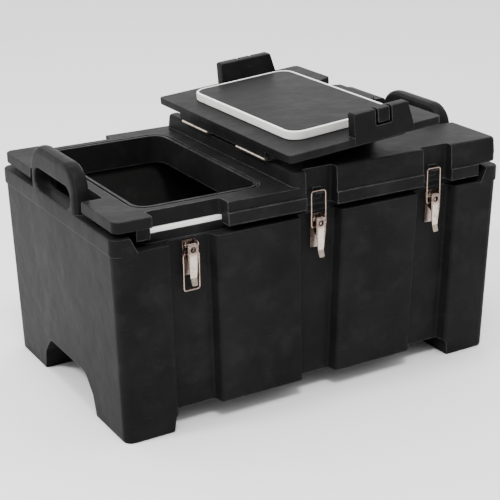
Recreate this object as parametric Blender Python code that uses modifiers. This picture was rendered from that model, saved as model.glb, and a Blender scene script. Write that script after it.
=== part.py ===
"""Insulated food carrier for one full-size food pan, with a fixed lid and a hinged half lid.

Metres, +Z up. The origin is on the floor under the middle of the carrier. +X runs along the
carrier towards the closed end of its lid, and the front, with three of the latches, faces -Y.
The half lid is built shut, in its hinge's own frame, and turned open by its pivot.
"""
import math

import bmesh
import bpy
from mathutils import Matrix, Vector

MM = 0.001
GAP = 0.3 * MM                      # between pieces that touch

# ---- body ------------------------------------------------------------------------------
HALF_LENGTH = 336 * MM
HALF_WIDTH = 206 * MM
RIM_Z = 292.5 * MM                    # top of the long walls
LIP_Z = 314 * MM                    # top of the raised lip at each end
BODY_CORNER = 14 * MM
DRAFT_X = 7 * MM                    # how far the foot is inside the rim
DRAFT_Y = 3 * MM
SKIN = 5 * MM                       # moulded wall thickness
FOOT_INNER_X = 251 * MM
UNDERSIDE_Z = 28 * MM
ARCH_HALF = 91 * MM
ARCH_Z = 63 * MM

# ---- latches ---------------------------------------------------------------------------
LATCH_SPACING = 214 * MM
CHANNEL_HALF = 37 * MM              # recess that the latches sit in, body
LID_CHANNEL_HALF = 27 * MM          # the same recess in the lid
CHANNEL_Y = 188 * MM                # floor of the recess

# ---- cavity ----------------------------------------------------------------------------
CAVITY_X = 270 * MM
CAVITY_Y = 166 * MM
CAVITY_FLOOR_Z = 106 * MM
CAVITY_CORNER = 34 * MM
CAVITY_DRAFT = 4 * MM
LINER_WALL = 4 * MM

# ---- end handles -----------------------------------------------------------------------
HANDLE_INNER_X = 312 * MM
HANDLE_OUTER_X = 338 * MM
HANDLE_HALF = 82 * MM
HANDLE_TOP_Z = 384 * MM
GRIP_HALF = 66 * MM
GRIP_LOW_Z = 316 * MM
GRIP_HIGH_Z = 350 * MM

# ---- fixed lid -------------------------------------------------------------------------
LID_HALF_LENGTH = 333 * MM
LID_HALF_WIDTH = 203.5 * MM
SKIRT_HALF_WIDTH = 206 * MM
SKIRT_LOW_Z = 303 * MM
FLANGE_LOW_Z = 321 * MM
FRAME_Z = 338 * MM                  # top of the open half
BLOCK_Z = 360 * MM                  # top of the closed half
BLOCK_X = -46.5 * MM                 # where the closed half starts
LID_UNDERSIDE_Z = 314 * MM
SEAT_X = 281.5 * MM
SEAT_Y = 168 * MM
OPENING_LOW_X = -276 * MM
OPENING_HIGH_X = -81 * MM
OPENING_Y = 160 * MM
OPENING_CORNER = 20 * MM
NOTCH_LOW_X = -276 * MM             # front and back notches for the half lid's ears
NOTCH_HIGH_X = -158 * MM
NOTCH_Y = 180 * MM

# ---- gaskets ---------------------------------------------------------------------------
COLLAR_Z = 306.5 * MM
GASKET_X = 292.5 * MM
GASKET_Y = 184.5 * MM
GASKET_WIDTH = 10 * MM

# ---- half lid, in its hinge's frame, shut ------------------------------------------------
HINGE_X = -51.5 * MM
HINGE_Z = 364 * MM
OPEN_ANGLE = math.radians(175.4)
SEAL_Z = -25.3 * MM                 # the face that meets the frame
FLANGE_TOP_Z = -13 * MM
COVER_TOP_Z = -1 * MM
HINGE_EDGE_X = 3.5 * MM
TAB_X = -270 * MM                   # free end either side of the handle
TONGUE_X = -257.5 * MM                # middle of the free end
CUTBACK_X = -242 * MM
TAB_INNER_Y = 101 * MM
TONGUE_Y = 50 * MM
FLANGE_HALF_WIDTH = 205 * MM
PLUG_LOW_X = -217.5 * MM
PLUG_HIGH_X = -32.5 * MM
PLUG_Y = 156 * MM
PLUG_LOW_Z = -39 * MM
PLUG_CORNER = 24 * MM
BAND = 4 * MM                       # thickness of the white band round the plug
EAR_LOW_Z = -62 * MM
EAR_NEAR_X = -109.5 * MM
EAR_FAR_X = -218 * MM
EAR_INNER_Y = 188 * MM
EAR_GROOVE_Y = 193.5 * MM           # floor of the ear's grooves

# ---- steel -------------------------------------------------------------------------------
SHEET = 1.2 * MM
BARREL_RADIUS = 3.2 * MM
PIN_RADIUS = 1.7 * MM
HINGE_HALF = 41 * MM
WIRE_RADIUS = 1.3 * MM
LEVER_PIVOT = (9 * MM, 283 * MM)    # distance out from the recess floor, height
BAIL_PIVOT = (8 * MM, 270 * MM)
BAIL_LENGTH = 55 * MM
BAIL_HALF = 12.5 * MM
BAIL_LEAN = 1.6 * MM                # a hooked bail leans in by this much

MATERIALS = {
    "black_polyethylene": ((0.022, 0.022, 0.023), 0.45, 0.0),
    "white_gasket": ((0.80, 0.79, 0.76), 0.6, 0.0),
    "stainless_steel": ((0.66, 0.64, 0.61), 0.28, 1.0),
    "foam": ((0.74, 0.66, 0.42), 0.9, 0.0),
}


# ---- tools -------------------------------------------------------------------------------
def clear_scene():
    for thing in list(bpy.data.objects):
        bpy.data.objects.remove(thing, do_unlink=True)


def material(name):
    found = bpy.data.materials.get(name)
    if found:
        return found
    colour, roughness, metallic = MATERIALS[name]
    made = bpy.data.materials.new(name)
    made.use_nodes = True
    shader = made.node_tree.nodes["Principled BSDF"]
    shader.inputs["Base Color"].default_value = (*colour, 1)
    shader.inputs["Roughness"].default_value = roughness
    shader.inputs["Metallic"].default_value = metallic
    return made


def rounded(corners, steps=4):
    """An outline from (x, y, radius) corners, each radius turned into an arc."""
    points = []
    for i, (x, y, radius) in enumerate(corners):
        here = Vector((x, y))
        if not radius:
            points.append(here)
            continue
        before = (Vector(corners[i - 1][:2]) - here).normalized()
        after = (Vector(corners[(i + 1) % len(corners)][:2]) - here).normalized()
        half = before.angle(after) / 2
        centre = here + (before + after).normalized() * radius / math.sin(half)
        start = here + before * radius / math.tan(half) - centre
        end = here + after * radius / math.tan(half) - centre
        turn = start.angle_signed(end)
        for step in range(steps + 1):
            points.append(centre + Matrix.Rotation(-turn * step / steps, 2) @ start)
    return points


def rectangle(low_x, high_x, low_y, high_y, radius=0.0):
    return [(low_x, low_y, radius), (high_x, low_y, radius),
            (high_x, high_y, radius), (low_x, high_y, radius)]


def box_outline(half_x, half_y, radius=0.0):
    return rectangle(-half_x, half_x, -half_y, half_y, radius)


def place_mesh(name, mesh):
    thing = bpy.data.objects.new(name, mesh)
    bpy.context.scene.collection.objects.link(thing)
    return thing


def as_mesh(source, name):
    """The evaluated shape of an object as a new mesh object with welded vertices."""
    bpy.context.view_layer.update()
    graph = bpy.context.evaluated_depsgraph_get()
    mesh = bpy.data.meshes.new_from_object(source.evaluated_get(graph), depsgraph=graph)
    mesh.transform(source.matrix_world)
    from_curve = source.type == "CURVE"
    bpy.data.objects.remove(source, do_unlink=True)
    work = bmesh.new()
    work.from_mesh(mesh)
    bmesh.ops.remove_doubles(work, verts=work.verts, dist=1e-5)
    if from_curve:
        bmesh.ops.recalc_face_normals(work, faces=work.faces)
    work.to_mesh(mesh)
    work.free()
    return place_mesh(name, mesh)


# Local axes of an outline: its own x and y, then the way it is extruded.
TURNS = {
    "z": Matrix(((1, 0, 0), (0, 1, 0), (0, 0, 1))),
    "y": Matrix(((1, 0, 0), (0, 0, 1), (0, 1, 0))),
    "x": Matrix(((0, 0, 1), (1, 0, 0), (0, 1, 0))),
}


def prism(corners, low, high, along="z", steps=4, name="prism"):
    """A rounded outline extruded from low to high along an axis."""
    outline = bpy.data.curves.new(name, "CURVE")
    outline.dimensions = "2D"
    outline.fill_mode = "BOTH"
    outline.extrude = (high - low) / 2
    points = rounded(corners, steps)
    spline = outline.splines.new("POLY")
    spline.points.add(len(points) - 1)
    for point, (x, y) in zip(spline.points, points):
        point.co = (x, y, 0, 1)
    spline.use_cyclic_u = True
    thing = place_mesh(name, outline)
    turn = TURNS[along].to_4x4()
    thing.matrix_world = turn @ Matrix.Translation((0, 0, (low + high) / 2))
    return as_mesh(thing, name)


def combine(target, tool, operation):
    modifier = target.modifiers.new(operation, "BOOLEAN")
    modifier.operation = operation
    modifier.solver = "EXACT"
    modifier.object = tool
    name = target.name
    result = as_mesh(target, name)
    bpy.data.objects.remove(tool, do_unlink=True)
    return result


def cut(target, *tools):
    for tool in tools:
        target = combine(target, tool, "DIFFERENCE")
    return target


def join(target, *tools):
    for tool in tools:
        target = combine(target, tool, "UNION")
    return target


def reshape(thing, rule):
    """Move every vertex to where the rule sends it."""
    for vertex in thing.data.vertices:
        vertex.co = rule(vertex.co)
    return thing


def mirrored_y(thing):
    for vertex in thing.data.vertices:
        vertex.co.y = -vertex.co.y
    thing.data.flip_normals()
    return thing


def without_flat_edges(thing):
    """Merge coplanar faces, so that a bevel is even along every edge."""
    work = bmesh.new()
    work.from_mesh(thing.data)
    bmesh.ops.dissolve_limit(work, angle_limit=math.radians(0.5), verts=work.verts, edges=work.edges)
    work.to_mesh(thing.data)
    work.free()


def softened(thing, width, segments=2, limit=40):
    without_flat_edges(thing)
    bevel = thing.modifiers.new("rounding", "BEVEL")
    bevel.width = width
    bevel.segments = segments
    bevel.use_clamp_overlap = False
    bevel.loop_slide = False
    bevel.limit_method = "ANGLE"
    bevel.angle_limit = math.radians(limit)
    return as_mesh(thing, thing.name)


def tube(points, radius, name="tube", resolution=2, closed=False):
    path = bpy.data.curves.new(name, "CURVE")
    path.dimensions = "3D"
    path.bevel_depth = radius
    path.bevel_resolution = resolution
    path.use_fill_caps = not closed
    spline = path.splines.new("POLY")
    spline.points.add(len(points) - 1)
    for point, place in zip(spline.points, points):
        point.co = (*place, 1)
    spline.use_cyclic_u = closed
    return as_mesh(place_mesh(name, path), name)


def rod(start, end, radius, sides=16, name="rod"):
    """A cylinder between two points."""
    start, end = Vector(start), Vector(end)
    mesh = bpy.data.meshes.new(name)
    work = bmesh.new()
    bmesh.ops.create_cone(work, cap_ends=True, segments=sides, radius1=radius, radius2=radius,
                          depth=(end - start).length)
    turn = (end - start).to_track_quat("Z", "Y").to_matrix().to_4x4()
    bmesh.ops.transform(work, matrix=Matrix.Translation((start + end) / 2) @ turn,
                        verts=work.verts)
    work.to_mesh(mesh)
    work.free()
    return place_mesh(name, mesh)


def finish(thing, name, material_name, parts, pivot=None):
    """Name a piece, give it its material, and hang it on its pivot."""
    thing.name = name
    thing.data.name = name
    thing.data.materials.clear()
    thing.data.materials.append(material(material_name))
    thing.data.shade_smooth()
    thing.data.set_sharp_from_angle(angle=math.radians(35))
    for collection in list(thing.users_collection):
        collection.objects.unlink(thing)
    parts.objects.link(thing)
    if pivot:
        thing.parent = pivot
    return thing


def pivot_at(name, place, parts, parent=None):
    empty = bpy.data.objects.new(name, None)
    parts.objects.link(empty)
    empty.parent = parent
    empty.location = place
    return empty


# ---- body --------------------------------------------------------------------------------
def body_plan(half_length, half_width, floor_y, channel_half, corner):
    """Plan of the body with three latch recesses in each long side."""
    slope = 4 * MM
    front = [(-half_length, -half_width, corner)]
    for centre in (-LATCH_SPACING, 0, LATCH_SPACING):
        front += [(centre - channel_half, -half_width, 5 * MM),
                  (centre - channel_half + slope, -floor_y, 4 * MM),
                  (centre + channel_half - slope, -floor_y, 4 * MM),
                  (centre + channel_half, -half_width, 5 * MM)]
    front.append((half_length, -half_width, corner))
    back = [(-x, -y, radius) for x, y, radius in front]
    return front + back


def drafted(place):
    """Lean the walls in towards the floor."""
    share = 1 - place.z / RIM_Z
    return Vector((place.x - share * math.copysign(DRAFT_X, place.x),
                   place.y - share * math.copysign(DRAFT_Y, place.y), place.z))


def arch_outline(grow=0.0):
    half = ARCH_HALF + grow
    top = ARCH_Z + grow
    return [(-half - 12 * MM, -15 * MM, 0), (-half, 34 * MM, 15 * MM),
            (-half + 25 * MM, top, 20 * MM), (half - 25 * MM, top, 20 * MM),
            (half, 34 * MM, 15 * MM), (half + 12 * MM, -15 * MM, 0)]


def end_handle(side):
    base = LIP_Z - 15 * MM
    outline = [(-HANDLE_HALF - 2 * MM, base, 0), (-HANDLE_HALF, HANDLE_TOP_Z, 38 * MM),
               (HANDLE_HALF, HANDLE_TOP_Z, 38 * MM), (HANDLE_HALF + 2 * MM, base, 0)]
    loop = prism(outline, HANDLE_INNER_X, HANDLE_OUTER_X, "x", 6)
    loop = softened(loop, 10 * MM, 3, 60)
    grip = rectangle(-GRIP_HALF, GRIP_HALF, GRIP_LOW_Z, GRIP_HIGH_Z, 16.5 * MM)
    loop = cut(loop, prism(grip, HANDLE_INNER_X - 0.02, HANDLE_OUTER_X + 0.02, "x", 5))
    loop = softened(loop, 3 * MM, 2, 70)
    return loop if side > 0 else reshape_turned(loop)


def reshape_turned(thing):
    """Half a turn about Z."""
    thing.data.transform(Matrix.Rotation(math.pi, 4, "Z"))
    return thing


def end_lips():
    band = prism(box_outline(HALF_LENGTH + 2.5 * MM, HALF_WIDTH + 0.5 * MM, BODY_CORNER),
                 LIP_Z - 26 * MM, LIP_Z)
    band = softened(band, 3 * MM, 2, 60)
    middle = [(-299 * MM, RIM_Z - 20 * MM, 0), (299 * MM, RIM_Z - 20 * MM, 0),
              (301 * MM, RIM_Z, 0), (316 * MM, LIP_Z + 10 * MM, 0),
              (-316 * MM, LIP_Z + 10 * MM, 0), (-301 * MM, RIM_Z, 0)]
    return cut(band, prism(middle, -0.25, 0.25, "y"))


def seal_ring(low, high, grow=0.0):
    outer = prism(box_outline(GASKET_X + grow, GASKET_Y + grow, 24 * MM), low, high)
    inner = prism(box_outline(GASKET_X - GASKET_WIDTH, GASKET_Y - GASKET_WIDTH, 14 * MM),
                  low - 0.01, high + 0.01)
    return cut(outer, inner)


def insulation_space(shrink):
    """The room between the outer shell and the liner, before the liner is taken out."""
    inset = SKIN + shrink
    space = prism(body_plan(HALF_LENGTH - inset, HALF_WIDTH - inset, CHANNEL_Y - inset,
                            CHANNEL_HALF + SKIN, BODY_CORNER - SKIN),
                  UNDERSIDE_Z + inset, RIM_Z - inset)
    reshape(space, drafted)
    return cut(space, prism(rectangle(-0.11 - shrink, 0.11 + shrink, 0, ARCH_Z + inset), -0.4, 0.4, "x"))


def liner_block(grow, low, high):
    """The liner's tapered outer form."""
    block = prism(box_outline(CAVITY_X + grow, CAVITY_Y + grow, CAVITY_CORNER + grow), low, high, steps=5)

    def taper(place):
        share = (RIM_Z - place.z) / (RIM_Z - CAVITY_FLOOR_Z)
        return Vector((place.x - share * math.copysign(CAVITY_DRAFT, place.x),
                       place.y - share * math.copysign(CAVITY_DRAFT, place.y), place.z))
    return reshape(block, taper)


def make_body(parts):
    shell = prism(body_plan(HALF_LENGTH, HALF_WIDTH, CHANNEL_Y, CHANNEL_HALF, BODY_CORNER), 0, RIM_Z)
    reshape(shell, drafted)
    shell = softened(shell, 3 * MM, 2, 60)
    between_feet = [(-FOOT_INNER_X - 3 * MM, -20 * MM, 0), (-FOOT_INNER_X + 3 * MM, UNDERSIDE_Z, 6 * MM),
                    (FOOT_INNER_X - 3 * MM, UNDERSIDE_Z, 6 * MM), (FOOT_INNER_X + 3 * MM, -20 * MM, 0)]
    shell = cut(shell, prism(between_feet, -0.3, 0.3, "y"), prism(arch_outline(), -0.4, 0.4, "x"))
    shell = join(shell, end_lips(), end_handle(1), end_handle(-1),
                 seal_ring(RIM_Z - 2 * MM, COLLAR_Z))
    shell = cut(shell, insulation_space(0),
                liner_block(LINER_WALL + GAP, CAVITY_FLOOR_Z - LINER_WALL - GAP, RIM_Z + 30 * MM))
    port = rod((0, 0, ARCH_Z - 0.02), (0, 0, ARCH_Z + 0.02), 13 * MM, 20)
    shell = cut(shell, port)
    finish(shell, "body_shell", "black_polyethylene", parts)

    plug = join(rod((0, 0, ARCH_Z - 2 * MM), (0, 0, ARCH_Z - GAP), 17 * MM, 20),
                rod((0, 0, ARCH_Z - 1 * MM), (0, 0, ARCH_Z + SKIN - GAP), 12.6 * MM, 20))
    finish(plug, "foam_port_plug", "black_polyethylene", parts)

    liner = liner_block(LINER_WALL, CAVITY_FLOOR_Z - LINER_WALL, RIM_Z)
    liner = cut(liner, liner_block(0, CAVITY_FLOOR_Z, RIM_Z + 10 * MM))
    finish(liner, "body_liner", "black_polyethylene", parts)

    foam = insulation_space(GAP)
    foam = cut(foam, liner_block(LINER_WALL + GAP, CAVITY_FLOOR_Z - LINER_WALL - GAP, RIM_Z + 10 * MM))
    finish(foam, "body_insulation", "foam", parts)


# ---- fixed lid ----------------------------------------------------------------------------
def handle_notch(side):
    reach = sorted((side * 299 * MM, side * 400 * MM))
    return prism(rectangle(*reach, -96 * MM, 96 * MM, 6 * MM), SKIRT_LOW_Z - 0.02, BLOCK_Z + 0.02)


def ear_notch():
    outline = [(NOTCH_LOW_X, -0.25, 0), (NOTCH_HIGH_X, -0.25, 0),
               (NOTCH_HIGH_X, -NOTCH_Y, 5 * MM), (NOTCH_LOW_X, -NOTCH_Y, 5 * MM)]
    return prism(outline, SKIRT_LOW_Z - 0.02, FRAME_Z + 0.02)


def lid_channel(centre):
    half = LID_CHANNEL_HALF
    outline = [(centre - half, -0.25, 0), (centre + half, -0.25, 0),
               (centre + half, -CHANNEL_Y, 4 * MM), (centre - half, -CHANNEL_Y, 4 * MM)]
    return prism(outline, SKIRT_LOW_Z - 0.02, BLOCK_Z + 0.02)


def skirt_outline():
    """Full width from the middle of the ear notches on, and set back at the open end."""
    front = [(-297 * MM, -SKIRT_HALF_WIDTH + 10 * MM, 0), (-200 * MM, -SKIRT_HALF_WIDTH + 10 * MM, 0),
             (-200 * MM, -SKIRT_HALF_WIDTH, 0), (297 * MM, -SKIRT_HALF_WIDTH, 4 * MM)]
    return front + [(x, -y, radius) for x, y, radius in reversed(front)]


def narrowed_top(place):
    """Lean the block's walls in by 2 mm at the top."""
    share = max(0.0, (place.z - FRAME_Z) / (BLOCK_Z - FRAME_Z))
    centre = (BLOCK_X + LID_HALF_LENGTH) / 2
    return Vector((place.x - math.copysign(2 * MM * share, place.x - centre),
                   place.y - math.copysign(2 * MM * share, place.y), place.z))


def opening_groove():
    """The groove round the opening, which leaves a narrow raised lip at its edge."""
    def ring(step, low):
        return prism(rectangle(OPENING_LOW_X - step, OPENING_HIGH_X + step, -OPENING_Y - step,
                               OPENING_Y + step, OPENING_CORNER + step), low, FRAME_Z + 10 * MM)
    return cut(ring(8.5 * MM, FRAME_Z - 3 * MM), ring(4 * MM, FRAME_Z - 10 * MM))


def make_fixed_lid(parts):
    plate = prism(box_outline(LID_HALF_LENGTH, LID_HALF_WIDTH, 12 * MM), FLANGE_LOW_Z, FRAME_Z)
    block = prism(rectangle(BLOCK_X, LID_HALF_LENGTH, -LID_HALF_WIDTH, LID_HALF_WIDTH, 10 * MM),
                  FRAME_Z - 8 * MM, BLOCK_Z)
    block = softened(reshape(block, narrowed_top), 5 * MM, 3, 60)
    plate = join(softened(plate, 2 * MM, 2, 60), block)
    skirt = prism(skirt_outline(), SKIRT_LOW_Z, FLANGE_LOW_Z + 0.5 * MM)
    hollow = prism(box_outline(293 * MM, 185 * MM), SKIRT_LOW_Z - 0.01, LID_UNDERSIDE_Z)
    skirt = cut(skirt, hollow)
    seat = prism(box_outline(SEAT_X, SEAT_Y, 30 * MM), RIM_Z + 0.4 * MM, LID_UNDERSIDE_Z + 1 * MM)
    shell = join(plate, skirt, seat)

    shell = cut(shell, handle_notch(1), handle_notch(-1))
    for cutter in (ear_notch, lambda: lid_channel(0), lambda: lid_channel(LATCH_SPACING)):
        shell = cut(shell, cutter(), mirrored_y(cutter()))
    opening = rectangle(OPENING_LOW_X, OPENING_HIGH_X, -OPENING_Y, OPENING_Y, OPENING_CORNER)
    shell = cut(shell, prism(opening, 0.2, 0.4), opening_groove())
    pocket = rectangle(BLOCK_X + 6 * MM, SEAT_X - 9 * MM, -OPENING_Y, OPENING_Y, 20 * MM)
    shell = cut(shell, prism(pocket, 0.2, BLOCK_Z - SKIN))
    finish(shell, "fixed_lid_shell", "black_polyethylene", parts)

    low = RIM_Z + 0.4 * MM
    panel_outline = rectangle(BLOCK_X + 6 * MM + GAP, SEAT_X - 9 * MM - GAP, -OPENING_Y + GAP,
                              OPENING_Y - GAP, 20 * MM - GAP)
    finish(prism(panel_outline, low, low + 4 * MM), "fixed_lid_inner_panel", "black_polyethylene", parts)
    finish(prism(panel_outline, low + 4 * MM + GAP, BLOCK_Z - SKIN - GAP), "fixed_lid_insulation",
           "foam", parts)
    gasket = seal_ring(COLLAR_Z + GAP, LID_UNDERSIDE_Z - GAP)
    finish(gasket, "fixed_lid_gasket", "white_gasket", parts)


# ---- half lid ------------------------------------------------------------------------------
def flange_outline():
    near = [(HINGE_EDGE_X, -FLANGE_HALF_WIDTH, 5 * MM), (HINGE_EDGE_X, FLANGE_HALF_WIDTH, 5 * MM)]
    free = [(TAB_X, FLANGE_HALF_WIDTH, 8 * MM), (TAB_X, TAB_INNER_Y, 6 * MM),
            (CUTBACK_X, TAB_INNER_Y - 10 * MM, 6 * MM), (CUTBACK_X, TONGUE_Y + 8 * MM, 6 * MM),
            (TONGUE_X, TONGUE_Y - 2 * MM, 4 * MM)]
    mirrored = [(x, -y, radius) for x, y, radius in reversed(free)]
    return near + free + mirrored


def ear(low_y, high_y):
    taper = 10 * MM
    outline = [(EAR_NEAR_X, FLANGE_TOP_Z - 0.3 * MM, 0), (EAR_FAR_X, FLANGE_TOP_Z - 0.3 * MM, 0),
               (EAR_FAR_X, SEAL_Z, 0), (EAR_FAR_X + taper, EAR_LOW_Z, 4 * MM),
               (EAR_NEAR_X, EAR_LOW_Z, 4 * MM)]
    return prism(outline, low_y, high_y, "y")


def half_lid_ears():
    """The front ear, with the grooves that the latch's bail drops into round a keeper."""
    solid = softened(ear(-206 * MM, -EAR_INNER_Y), 2.5 * MM, 2, 60)
    middle = -LATCH_SPACING - HINGE_X
    bar_z = BAIL_PIVOT[1] + BAIL_LENGTH - HINGE_Z
    half_groove = WIRE_RADIUS + 1 * MM
    pocket = rectangle(middle - BAIL_HALF - half_groove, middle + BAIL_HALF + half_groove,
                       EAR_LOW_Z - 0.02, bar_z + half_groove, 2 * MM)
    land = rectangle(middle - BAIL_HALF + half_groove, middle + BAIL_HALF - half_groove,
                     EAR_LOW_Z - 0.03, bar_z - WIRE_RADIUS - GAP, 1 * MM)
    grooves = cut(prism(pocket, -0.25, -EAR_GROOVE_Y, "y"), prism(land, -0.26, -0.1, "y"))
    return cut(solid, grooves)


def rest_ridge():
    """The grip ridge near the free end, which also rests on the closed half when open."""
    slope = math.pi - OPEN_ANGLE

    def resting_z(x):
        return (HINGE_Z - BLOCK_Z - 1.2 * MM) - x * math.tan(slope)
    far, near = -227 * MM, -206 * MM
    outline = [(far, COVER_TOP_Z - 3 * MM, 0), (near, COVER_TOP_Z - 3 * MM, 0),
               (near, resting_z(near), 0), (far, resting_z(far), 0)]
    return softened(prism(outline, -92 * MM, 92 * MM, "y"), 3 * MM, 3, 60)


def hinge_rib():
    """The rib along the hinged edge that covers the leaves from the open side."""
    outline = rectangle(-0.7 * MM, 3 * MM, FLANGE_TOP_Z - 2 * MM, -3.9 * MM)
    return prism(outline, -134 * MM, 134 * MM, "y")


def band_outline(grow):
    return rectangle(PLUG_LOW_X - grow, PLUG_HIGH_X + grow, -PLUG_Y - grow, PLUG_Y + grow,
                     PLUG_CORNER + grow)


def make_half_lid(parts, pivot):
    shell = prism(flange_outline(), SEAL_Z, FLANGE_TOP_Z)
    shell = softened(shell, 1.5 * MM, 2, 60)
    cover = prism(rectangle(-236 * MM, -34 * MM, -184 * MM, 184 * MM, 16 * MM),
                  FLANGE_TOP_Z - 2 * MM, COVER_TOP_Z)

    def domed(place):
        share = max(0.0, (place.z - FLANGE_TOP_Z) / (COVER_TOP_Z - FLANGE_TOP_Z))
        return Vector((place.x - math.copysign(5 * MM * share, place.x + 135 * MM),
                       place.y - math.copysign(5 * MM * share, place.y), place.z))
    shell = join(shell, softened(reshape(cover, domed), 2 * MM, 2, 30), rest_ridge(), hinge_rib())
    shell = join(shell, half_lid_ears(), mirrored_y(half_lid_ears()))
    room = band_outline(-6 * MM)
    shell = cut(shell, prism(room, SEAL_Z - 0.01, COVER_TOP_Z - SKIN))
    finish(shell, "half_lid_shell", "black_polyethylene", parts, pivot)

    tray = prism(band_outline(-BAND), PLUG_LOW_Z + 0.5 * MM, SEAL_Z - GAP)
    tray = softened(tray, 1.2 * MM, 2, 60)
    tray = cut(tray, prism(band_outline(-BAND - 3 * MM), PLUG_LOW_Z + 3.5 * MM, SEAL_Z + 0.01))
    finish(tray, "half_lid_inner_skin", "black_polyethylene", parts, pivot)

    core = prism(band_outline(-BAND - 3 * MM - GAP), PLUG_LOW_Z + 3.5 * MM + GAP,
                 COVER_TOP_Z - SKIN - GAP)
    finish(core, "half_lid_insulation", "foam", parts, pivot)

    ring = prism(band_outline(0), PLUG_LOW_Z, SEAL_Z - GAP)
    ring = softened(ring, 1.5 * MM, 2, 60)
    ring = cut(ring, prism(band_outline(-BAND + GAP), PLUG_LOW_Z - 0.01, SEAL_Z + 0.01))
    finish(ring, "half_lid_gasket", "white_gasket", parts, pivot)


# ---- hinges ---------------------------------------------------------------------------------
def knuckle(low_y, high_y):
    return rod((0, low_y, 0), (0, high_y, 0), BARREL_RADIUS, 16)


def bored(leaf):
    return cut(leaf, rod((0, -0.3, 0), (0, 0.3, 0), PIN_RADIUS + GAP, 16))


def make_hinge(parts, label, middle, lid_pivot, block_pivot):
    """One butt hinge: the fixed leaf takes the inner knuckle and the moving leaf the outer."""
    side = math.copysign(1, middle)
    inner = sorted((middle - side * HINGE_HALF, middle - side * 0.5 * MM))
    outer = sorted((middle + side * 0.5 * MM, middle + side * HINGE_HALF))
    inset = 0.5 * MM
    block_top = BLOCK_Z - HINGE_Z + GAP
    web = rectangle(0, 6 * MM, block_top + 0.1 * MM, block_top + SHEET - 0.1 * MM)
    plate = rectangle(4 * MM, 27 * MM, block_top, block_top + SHEET)
    fixed = join(knuckle(*inner), prism(web, inner[0] + inset, inner[1] - inset, "y"))
    fixed = join(fixed, prism(plate, middle - HINGE_HALF + 0.6 * MM, middle + HINGE_HALF - 0.6 * MM, "y"))
    finish(bored(fixed), f"{label}_hinge_fixed_leaf", "stainless_steel", parts, block_pivot)

    low = FLANGE_TOP_Z + GAP
    foot = rectangle(-31 * MM, -1 * MM, low, low + SHEET)
    rise = rectangle(-3 * MM, -1.5 * MM, low + 0.5 * MM, -1 * MM)
    moving = join(knuckle(*outer), prism(rise, outer[0] + inset, outer[1] - inset, "y"),
                  prism(foot, outer[0] + 2 * inset, outer[1] - 2 * inset, "y"))
    finish(bored(moving), f"{label}_hinge_moving_leaf", "stainless_steel", parts, lid_pivot)

    reach = HINGE_HALF + 0.9 * MM
    pin = rod((0, middle - reach, 0), (0, middle + reach, 0), PIN_RADIUS, 12)
    for end in (-1, 1):
        start = middle + end * (HINGE_HALF + GAP)
        pin = join(pin, rod((0, start, 0), (0, start + end * 1.2 * MM, 0), BARREL_RADIUS - 0.5 * MM, 12))
    finish(pin, f"{label}_hinge_pin", "stainless_steel", parts, block_pivot)


# ---- latches ---------------------------------------------------------------------------------
# A latch is built for the front: local x along the carrier, y = -(distance out), z up, with the
# origin on the recess floor at floor level. A back latch is the same piece turned half round.
def out(distance):
    return -distance


def latch_base():
    away, height = LEVER_PIVOT
    plate = prism(rectangle(-10.5 * MM, 10.5 * MM, height - 47 * MM, height + 6 * MM, 3 * MM),
                  out(GAP + SHEET), out(GAP), "y")
    for side in (-1, 1):
        cheek = [(out(GAP + 0.2 * MM), height - 7 * MM, 0), (out(away), height - 5 * MM, 2 * MM),
                 (out(away + 5 * MM), height, 4 * MM), (out(away), height + 5 * MM, 2 * MM),
                 (out(GAP + 0.2 * MM), height + 5 * MM, 0)]
        reach = sorted((side * 8.7 * MM, side * 9.8 * MM))
        plate = join(plate, prism(cheek, *reach, "x", 3))
    for rivet in (height - 41 * MM, height - 21 * MM):
        plate = join(plate, rod((0, out(GAP + 1 * MM), rivet), (0, out(GAP + SHEET + 1.2 * MM), rivet),
                                3 * MM, 12))
    bore = rod((-0.02, out(away), height), (0.02, out(away), height), PIN_RADIUS + GAP, 12)
    return cut(plate, bore)


def latch_lever():
    """A tapered face with a thumb tip, and two flanges that carry both pivots."""
    away, height = LEVER_PIVOT
    face_y = out(away + 4.4 * MM)
    top, waist, bend, tip = (height + drop * MM for drop in (2.5, -19, -48, -59))
    right = [(8.4 * MM, top, 2.5 * MM), (8.4 * MM, waist, 2 * MM), (5 * MM, bend, 2 * MM), (4.6 * MM, tip, 2 * MM)]
    left = [(-x, z, radius) for x, z, radius in reversed(right)]
    face = prism(right + left, face_y - 1.3 * MM, face_y, "y", 3)
    face = cut(face, rod((0, -0.02, height - 6 * MM), (0, 0.02, height - 6 * MM), 2.8 * MM, 14))
    for side in (-1, 1):
        flange = [(face_y - 0.6 * MM, height + 1.8 * MM, 0), (face_y - 0.6 * MM, height - 25 * MM, 0),
                  (out(BAIL_PIVOT[0] - 3 * MM), BAIL_PIVOT[1] - 4 * MM, 2 * MM),
                  (out(away - 3.5 * MM), height + 3.5 * MM, 2 * MM)]
        reach = sorted((side * 7 * MM, side * 8.2 * MM))
        face = join(face, prism(flange, *reach, "x", 3))

    def bent_tip(place):
        below = max(0.0, bend - place.z)
        return Vector((place.x, place.y + out(below * 0.32), place.z))
    face = reshape(face, bent_tip)
    for pivot, radius in ((LEVER_PIVOT, PIN_RADIUS), (BAIL_PIVOT, WIRE_RADIUS)):
        hole = rod((-0.02, out(pivot[0]), pivot[1]), (0.02, out(pivot[0]), pivot[1]), radius + GAP, 12)
        face = cut(face, hole)
    return face


def latch_pin():
    away, height = LEVER_PIVOT
    centre = out(away)
    pin = rod((-10.5 * MM, centre, height), (10.5 * MM, centre, height), PIN_RADIUS, 12)
    for side in (-1, 1):
        pin = join(pin, rod((side * 10.1 * MM, centre, height), (side * 10.9 * MM, centre, height),
                            2.6 * MM, 12))
    return pin


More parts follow.
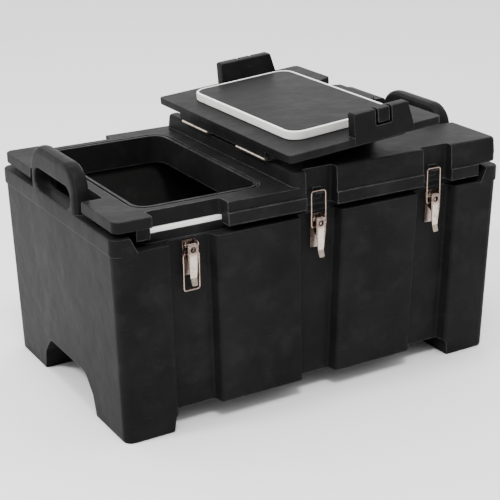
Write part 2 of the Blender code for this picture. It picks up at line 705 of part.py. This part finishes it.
def latch_bail():
    """The wire loop, upright: two ends in the lever, two sides and the crossbar."""
    away, height = BAIL_PIVOT
    top = height + BAIL_LENGTH
    bend = 3 * MM
    right = [(4.5 * MM, out(away), height), (BAIL_HALF - bend, out(away), height),
             (BAIL_HALF - 1 * MM, out(away), height + 1 * MM), (BAIL_HALF, out(away), height + bend),
             (BAIL_HALF, out(away), top - bend), (BAIL_HALF - 1 * MM, out(away), top - 1 * MM),
             (BAIL_HALF - bend, out(away), top)]
    left = [(-x, y, z) for x, y, z in reversed(right)]
    return tube(right + left, WIRE_RADIUS, resolution=1)


def keeper(shelf_out):
    """A moulded plate with a shelf that the bail's crossbar sits on."""
    low = BAIL_PIVOT[1] + BAIL_LENGTH - WIRE_RADIUS - GAP - 2 * MM
    plate = prism(rectangle(-8 * MM, 8 * MM, low - 10 * MM, low + 9 * MM, 2 * MM),
                  out(GAP + SHEET), out(GAP), "y")
    shelf = prism(rectangle(-7 * MM, 7 * MM, low, low + 2 * MM), out(shelf_out), out(GAP + 0.5 * MM), "y")
    return join(plate, shelf)


def turn_about_x(thing, pivot, angle):
    centre = Vector((0, out(pivot[0]), pivot[1]))
    thing.data.transform(Matrix.Translation(centre) @ Matrix.Rotation(angle, 4, "X")
                         @ Matrix.Translation(-centre))
    return thing


def make_latch(parts, label, x, side, hooked):
    """side is -1 at the front and 1 at the back."""
    turn = Matrix.Rotation(math.pi if side > 0 else 0.0, 4, "Z")
    place = Matrix.Translation((x, side * CHANNEL_Y, 0)) @ turn

    def settled(thing, pivot_place):
        thing.data.transform(Matrix.Translation((0, -out(pivot_place[0]), -pivot_place[1])))
        return thing

    def pivot_for(name, pivot_place):
        centre = place @ Vector((0, out(pivot_place[0]), pivot_place[1]))
        empty = pivot_at(f"{label}_{name}_pivot", centre, parts)
        empty.rotation_euler = turn.to_euler()
        return empty

    lever_pivot = pivot_for("lever", LEVER_PIVOT)
    bail_pivot = pivot_for("bail", BAIL_PIVOT)
    finish(settled(latch_base(), LEVER_PIVOT), f"{label}_latch_base", "stainless_steel", parts, lever_pivot)
    finish(settled(latch_pin(), LEVER_PIVOT), f"{label}_latch_pin", "stainless_steel", parts, lever_pivot)
    finish(settled(latch_lever(), LEVER_PIVOT), f"{label}_latch_lever", "stainless_steel", parts,
           lever_pivot)
    lean = -math.asin(BAIL_LEAN / BAIL_LENGTH) if hooked else math.pi
    bail = turn_about_x(latch_bail(), BAIL_PIVOT, lean)
    finish(settled(bail, BAIL_PIVOT), f"{label}_latch_bail", "stainless_steel", parts, bail_pivot)
    if hooked:
        piece = settled(keeper(9 * MM), LEVER_PIVOT)
        finish(piece, f"{label}_latch_keeper", "black_polyethylene", parts, lever_pivot)


def main():
    clear_scene()
    parts = bpy.data.collections.new("insulated_food_carrier")
    bpy.context.scene.collection.children.link(parts)
    make_body(parts)
    make_fixed_lid(parts)

    block_pivot = pivot_at("hinge_axis", (HINGE_X, 0, HINGE_Z), parts)
    lid_pivot = pivot_at("half_lid_pivot", (HINGE_X, 0, HINGE_Z), parts)
    lid_pivot.rotation_euler.y = OPEN_ANGLE
    make_half_lid(parts, lid_pivot)
    make_hinge(parts, "front", -88 * MM, lid_pivot, block_pivot)
    make_hinge(parts, "back", 88 * MM, lid_pivot, block_pivot)

    for side, face in ((-1, "front"), (1, "back")):
        for x, where in ((-LATCH_SPACING, "left"), (0, "middle"), (LATCH_SPACING, "right")):
            make_latch(parts, f"{face}_{where}", x, side, hooked=where != "left")


main()
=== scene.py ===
"""The looks of the insulated food carrier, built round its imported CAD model."""

import math

import bmesh
import bpy
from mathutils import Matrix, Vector


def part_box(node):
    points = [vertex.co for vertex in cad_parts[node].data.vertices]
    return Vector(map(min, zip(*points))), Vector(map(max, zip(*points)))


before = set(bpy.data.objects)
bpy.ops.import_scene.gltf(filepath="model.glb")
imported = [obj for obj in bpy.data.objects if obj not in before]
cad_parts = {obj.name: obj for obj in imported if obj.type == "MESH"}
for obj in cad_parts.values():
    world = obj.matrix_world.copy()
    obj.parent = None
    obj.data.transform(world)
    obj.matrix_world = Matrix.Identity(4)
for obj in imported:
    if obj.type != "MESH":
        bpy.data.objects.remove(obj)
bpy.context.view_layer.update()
MM = 0.001

# ---- colours: each pair is a surface's two shades --------------------------------------
BLACK = (0.0080, 0.0080, 0.0082), (0.0125, 0.0125, 0.0127)
# Painted light: the liner's black is paler than the shell's, for light down in the well.
LINER_BLACK = (0.020, 0.020, 0.020), (0.028, 0.028, 0.027)
GASKET_WHITE = (0.93, 0.92, 0.89), (0.74, 0.71, 0.65)
# The second colour of each steel serves both its stains and the painted shade along its edges.
STEEL = (0.64, 0.56, 0.48), (0.27, 0.18, 0.14)
# Painted shade: the next two are darker copies of STEEL, for the latch bails and bases.
WIRE = (0.44, 0.34, 0.29), (0.16, 0.10, 0.08)
SHADED_STEEL = (0.34, 0.28, 0.25), (0.15, 0.10, 0.09)
# Painted shade: the brown laid over the levers' upper parts and sides.
LEVER_SHADE = (0.085, 0.050, 0.040)
GREASE = (0.004, 0.003, 0.003)
FOAM = (0.72, 0.62, 0.36), (0.84, 0.76, 0.5)
FLOOR = (0.94, 0.94, 0.94), (0.96, 0.96, 0.96)
DUST_LIGHTENS = 2.4      # dusty and scuffed plastic, as a multiple of its lighter shade
EDGE_WEAR_AND_HIGHLIGHT_LIGHTENS = 9     # edges paler from wear and painted highlight, likewise

# ---- sizes -----------------------------------------------------------------------------
SHELL_ROUNDING = 2.2 * MM
LINER_ROUNDING = 1.5 * MM
GASKET_ROUNDING = 1.0 * MM
SMALL_PLASTIC_ROUNDING = 0.5 * MM
METAL_ROUNDING = 0.25 * MM
LEVER_HOLE_DROP = 6 * MM     # from a latch pin's axis down to the hole in its lever
FLOOR_HALF_SIZE = 14

# ---- camera ----------------------------------------------------------------------------
AZIMUTH = math.radians(-31.77)
ELEVATION = math.radians(21.35)
DISTANCE = 2.152
LENS = 93.24
SHIFT = (-0.06, 0.03)
TARGET = Vector((0.0539, 0.0, 0.1322))


# ---- node helpers ----------------------------------------------------------------------
class Shader:
    """A material's node tree, with short calls to add and link nodes."""

    def __init__(self, name):
        self.material = bpy.data.materials.new(name)
        self.material.use_nodes = True
        self.tree = self.material.node_tree
        self.principled = self.tree.nodes["Principled BSDF"]
        self.coords = self.tree.nodes.new("ShaderNodeTexCoord").outputs["Object"]

    def set(self, **values):
        for key, value in values.items():
            self.principled.inputs[key.replace("_", " ")].default_value = value

    def link(self, source, target):
        self.tree.links.new(source, target)

    def into(self, source, socket):
        self.link(source, self.principled.inputs[socket])

    def noise(self, scale, detail=3, roughness=0.5, stretch=None, distortion=0.0):
        node = self.tree.nodes.new("ShaderNodeTexNoise")
        node.inputs["Scale"].default_value = scale
        node.inputs["Detail"].default_value = detail
        node.inputs["Roughness"].default_value = roughness
        node.inputs["Distortion"].default_value = distortion
        self.link(self.stretched(stretch) if stretch else self.coords, node.inputs["Vector"])
        return node.outputs["Fac"]

    def stretched(self, scale):
        node = self.tree.nodes.new("ShaderNodeMapping")
        node.inputs["Scale"].default_value = scale
        self.link(self.coords, node.inputs["Vector"])
        return node.outputs["Vector"]

    def range(self, source, from_low, from_high, to_low, to_high):
        node = self.tree.nodes.new("ShaderNodeMapRange")
        node.inputs["From Min"].default_value = from_low
        node.inputs["From Max"].default_value = from_high
        node.inputs["To Min"].default_value = to_low
        node.inputs["To Max"].default_value = to_high
        self.link(source, node.inputs["Value"])
        return node.outputs["Result"]

    def math(self, operation, first, second):
        node = self.tree.nodes.new("ShaderNodeMath")
        node.operation = operation
        for socket, value in zip(node.inputs, (first, second)):
            if isinstance(value, (int, float)):
                socket.default_value = value
            else:
                self.link(value, socket)
        return node.outputs["Value"]

    def mix(self, factor, first, second):
        """Two colours or colour sockets, mixed by a factor socket."""
        node = self.tree.nodes.new("ShaderNodeMix")
        node.data_type = "RGBA"
        self.link(factor, node.inputs["Factor"])
        for socket, value in ((node.inputs[6], first), (node.inputs[7], second)):
            if isinstance(value, tuple):
                socket.default_value = (*value, 1)
            else:
                self.link(value, socket)
        return node.outputs[2]

    def edges(self, radius):
        """1 at sharp edges, falling to 0 on flat faces."""
        rounded = self.tree.nodes.new("ShaderNodeBevel")
        rounded.samples = 6
        rounded.inputs["Radius"].default_value = radius
        geometry = self.tree.nodes.new("ShaderNodeNewGeometry")
        dot = self.tree.nodes.new("ShaderNodeVectorMath")
        dot.operation = "DOT_PRODUCT"
        self.link(rounded.outputs["Normal"], dot.inputs[0])
        self.link(geometry.outputs["Normal"], dot.inputs[1])
        return self.range(dot.outputs["Value"], 0.96, 0.82, 0.0, 1.0)

    def bump(self, *layers):
        """Layers of (height, distance in metres), one on top of the other."""
        normal = None
        for height, distance in layers:
            node = self.tree.nodes.new("ShaderNodeBump")
            node.inputs["Distance"].default_value = distance
            self.link(height, node.inputs["Height"])
            if normal:
                self.link(normal, node.inputs["Normal"])
            normal = node.outputs["Normal"]
        self.into(normal, "Normal")


# ---- materials -------------------------------------------------------------------------
def moulded_polyethylene(name, dark, light, gloss):
    """Rotationally moulded plastic: a fine pebble, a slow ripple, dust, scuffs, and paler edges that are
    partly worn and partly painted highlight.
    """
    s = Shader(name)
    s.set(Specular_IOR_Level=0.028)
    cloud = s.noise(9, 5, 0.6)
    patches = s.noise(24, 5, 0.62, distortion=0.2)
    pebble = s.noise(620, 2, 0.6)
    ripple = s.noise(22, 2)
    scratches = s.noise(60, 6, 0.65, stretch=(1, 1, 5), distortion=0.6)
    scuffs = s.range(scratches, 0.58, 0.74, 0.0, 1.0)
    dusty = tuple(shade * DUST_LIGHTENS for shade in light)
    edge_wear_and_highlight_colour = tuple(shade * EDGE_WEAR_AND_HIGHLIGHT_LIGHTENS for shade in light)
    # Paler edges: partly real wear and partly painted highlight, laid on every edge.
    edge_wear_and_highlight = s.math("MULTIPLY", s.edges(2.5 * MM), s.range(scratches, 0.35, 0.65, 0.25, 1.0))

    colour = s.mix(s.range(cloud, 0.35, 0.65, 0.0, 1.0), dark, light)
    colour = s.mix(s.math("MULTIPLY", s.range(patches, 0.50, 0.72, 0.0, 1.0), 0.28), colour, dusty)
    colour = s.mix(s.math("MULTIPLY", scuffs, 0.34), colour, dusty)
    s.into(s.mix(edge_wear_and_highlight, colour, edge_wear_and_highlight_colour), "Base Color")
    rough = s.range(cloud, 0.3, 0.7, gloss - 0.06, gloss + 0.06)
    rough = s.math("ADD", rough, s.math("MULTIPLY", scuffs, 0.10))
    s.into(s.math("SUBTRACT", rough, s.math("MULTIPLY", edge_wear_and_highlight, 0.12)), "Roughness")
    s.bump((ripple, 1.2 * MM), (pebble, 0.12 * MM), (scratches, 0.12 * MM))
    return s.material


def gasket_rubber():
    s = Shader("white_gasket_rubber")
    s.set(Subsurface_Weight=0.08, Subsurface_Scale=0.004, Specular_IOR_Level=0.4)
    darkening = s.range(s.noise(45, 5, 0.6), 0.48, 0.75, 0.0, 0.5)
    s.into(s.mix(darkening, *GASKET_WHITE), "Base Color")
    s.into(s.range(s.noise(30, 3), 0.3, 0.7, 0.42, 0.6), "Roughness")
    s.bump((s.noise(900, 2), 0.05 * MM))
    return s.material


def stainless_steel(name, clean, stain_and_shade, marks=None):
    """Brushed sheet or wire with stains and streaks, and painted shade along its edges; marks(shader,
    colour) adds to its colour.
    """
    s = Shader(name)
    s.set(Metallic=1.0)
    brush = s.noise(90, 4, 0.7, stretch=(14, 14, 0.6))
    stains = s.range(s.noise(160, 4, 0.6), 0.42, 0.75, 0.0, 0.75)
    streaks = s.range(s.noise(300, 3, 0.6, stretch=(1, 1, 0.12)), 0.4, 0.7, 0.0, 0.45)
    # Painted shade: the darker colour laid along the edges and into the corners.
    edge_shade = s.math("MULTIPLY", s.edges(0.9 * MM), 0.85)
    darkening = s.math("MAXIMUM", s.math("MAXIMUM", stains, streaks), edge_shade)
    colour = s.mix(darkening, clean, stain_and_shade)
    s.into(marks(s, colour) if marks else colour, "Base Color")
    s.into(s.range(brush, 0.3, 0.7, 0.18, 0.36), "Roughness")
    s.bump((brush, 0.04 * MM))
    return s.material


def lever_marks(s, colour):
    """Painted shade over each lever's upper part and down its sides, and grease round its hole.

    The latches are evenly spaced along X, with one at X = 0, so folding X at half their spacing gives
    the distance from the nearest lever's middle.
    """
    pin_low, pin_high = (Vector(corner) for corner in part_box("front_middle_latch_pin"))
    next_low, next_high = (Vector(corner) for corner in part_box("front_right_latch_pin"))
    spacing = (next_low.x + next_high.x - pin_low.x - pin_high.x) / 2
    hole_z = (pin_low.z + pin_high.z) / 2 - LEVER_HOLE_DROP
    place = s.tree.nodes.new("ShaderNodeSeparateXYZ")
    s.link(s.coords, place.inputs["Vector"])
    beside = s.math("PINGPONG", place.outputs["X"], spacing / 2)
    above = s.math("SUBTRACT", place.outputs["Z"], hole_z)
    squares = s.math("ADD", s.math("MULTIPLY", beside, beside), s.math("MULTIPLY", above, above))
    grease = s.range(s.math("POWER", squares, 0.5), 3.6 * MM, 5.2 * MM, 1.0, 0.0)
    blotches = s.range(s.noise(420, 3, 0.6), 0.3, 0.6, 0.55, 1.0)
    # Painted shade darkens the upper part and the sides, broken up by blotches.
    upper = s.range(above, -11 * MM, -4 * MM, 0.0, 0.9)
    sides = s.range(beside, 4.6 * MM, 6.4 * MM, 0.0, 0.9)
    lever_shade = s.math("MULTIPLY", s.math("MAXIMUM", upper, sides), blotches)
    return s.mix(grease, s.mix(lever_shade, colour, LEVER_SHADE), GREASE)


def insulation_foam():
    s = Shader("insulation_foam")
    s.set(Roughness=0.9)
    cells = s.noise(400, 4, 0.7)
    s.into(s.mix(cells, *FOAM), "Base Color")
    s.bump((cells, 0.5 * MM))
    return s.material


def pale_floor():
    s = Shader("pale_floor")
    s.set(Roughness=0.9, Specular_IOR_Level=0.1)
    s.into(s.mix(s.noise(3, 2), *FLOOR), "Base Color")
    return s.material


# ---- the carrier's pieces --------------------------------------------------------------
def smooth_edges(thing, width, segments=3):
    """Weld the frame's split vertices, round the edges and shade the piece smoothly."""
    weld = thing.modifiers.new("weld", "WELD")
    weld.merge_threshold = 0.02 * MM
    flat = thing.modifiers.new("flat faces", "DECIMATE")
    flat.decimate_type = "DISSOLVE"
    flat.angle_limit = math.radians(0.8)
    bevel = thing.modifiers.new("rounding", "BEVEL")
    bevel.width = width
    bevel.segments = segments
    bevel.limit_method = "ANGLE"
    bevel.angle_limit = math.radians(28)
    bevel.loop_slide = False
    bevel.harden_normals = False
    weighted = thing.modifiers.new("normals", "WEIGHTED_NORMAL")
    weighted.keep_sharp = False
    for polygon in thing.data.polygons:
        polygon.use_smooth = True


def finish(thing, material, rounding=0.0, segments=3):
    thing.data.materials.clear()
    thing.data.materials.append(material)
    if rounding:
        smooth_edges(thing, rounding, segments)


black = moulded_polyethylene("black_polyethylene", *BLACK, gloss=0.37)
# The liner takes the paler black: painted light in the well.
liner_black = moulded_polyethylene("liner_polyethylene", *LINER_BLACK, gloss=0.55)
white = gasket_rubber()
steel = stainless_steel("brushed_stainless_steel", *STEEL)
lever_steel = stainless_steel("lever_stainless_steel", *STEEL, lever_marks)
# The bail and base steels are the same steel darkened: painted shade.
wire_steel = stainless_steel("wire_stainless_steel", *WIRE)
shaded_steel = stainless_steel("shaded_stainless_steel", *SHADED_STEEL)
foam = insulation_foam()

latch_finishes = {"_latch_base": shaded_steel, "_latch_lever": lever_steel, "_latch_bail": wire_steel}
for name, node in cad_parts.items():
    if "insulation" in name:
        finish(node, foam)
    elif "gasket" in name:
        finish(node, white, GASKET_ROUNDING)
    elif name == "body_liner":
        finish(node, liner_black, LINER_ROUNDING)
    elif name.endswith("_shell"):
        finish(node, black, SHELL_ROUNDING)
    elif name.endswith(("_skin", "_panel", "_plug", "_keeper")):
        finish(node, black, SMALL_PLASTIC_ROUNDING)
    else:
        metal = next((latch_finishes[end] for end in latch_finishes if name.endswith(end)), steel)
        finish(node, metal, METAL_ROUNDING, 2)


# ---- stage -----------------------------------------------------------------------------
def placed(name, data, place, direction):
    """A new object whose -Z looks along direction."""
    thing = bpy.data.objects.new(name, data)
    bpy.context.scene.collection.objects.link(thing)
    thing.location = place
    thing.rotation_euler = direction.to_track_quat("-Z", "Y").to_euler()
    return thing


def area_light(name, place, target, size, power):
    light = bpy.data.lights.new(name, "AREA")
    light.shape = "RECTANGLE"
    light.size = size
    light.size_y = size
    light.energy = power
    placed(name, light, place, Vector(target) - Vector(place))


def flat_floor():
    mesh = bpy.data.meshes.new("floor")
    work = bmesh.new()
    bmesh.ops.create_grid(work, x_segments=1, y_segments=1, size=FLOOR_HALF_SIZE)
    work.to_mesh(mesh)
    work.free()
    mesh.materials.append(pale_floor())
    floor = bpy.data.objects.new("floor", mesh)
    bpy.context.scene.collection.objects.link(floor)
    return floor


def studio_world():
    """White light all round, brightest from high up behind the carrier."""
    world = bpy.data.worlds.new("studio")
    bpy.context.scene.world = world
    world.use_nodes = True
    sky = world.node_tree
    direction = sky.nodes.new("ShaderNodeTexCoord").outputs["Generated"]
    toward = sky.nodes.new("ShaderNodeVectorMath")
    toward.operation = "DOT_PRODUCT"
    toward.inputs[1].default_value = Vector((0.35, 0.75, 0.45)).normalized()
    sky.links.new(direction, toward.inputs[0])
    glow = sky.nodes.new("ShaderNodeMapRange")
    glow.inputs["From Min"].default_value = -0.8
    glow.inputs["From Max"].default_value = 0.7
    glow.inputs["To Min"].default_value = 0.25
    glow.inputs["To Max"].default_value = 2.1
    sky.links.new(toward.outputs["Value"], glow.inputs["Value"])
    sky.nodes["Background"].inputs["Color"].default_value = (1, 1, 1, 1)
    sky.links.new(glow.outputs["Result"], sky.nodes["Background"].inputs["Strength"])


def front_left_camera():
    data = bpy.data.cameras.new("camera")
    data.lens = LENS
    data.sensor_width = 36
    data.shift_x, data.shift_y = SHIFT
    data.clip_end = 60
    level = math.cos(ELEVATION)
    back = Vector((math.sin(AZIMUTH) * level, -math.cos(AZIMUTH) * level, math.sin(ELEVATION)))
    bpy.context.scene.camera = placed("camera", data, TARGET + back * DISTANCE, -back)


floor = flat_floor()
studio_world()
area_light("key_upper_left", (-1.8, 0.0, 2.2), (-0.1, 0, 0.3), 0.35, 45)
area_light("overhead", (0.3, 0.6, 3.2), (0, 0, 0.2), 3.0, 26)
area_light("upper_front", (-0.5, -1.3, 2.9), (-0.17, 0, 0.3), 0.7, 52)
front_left_camera()
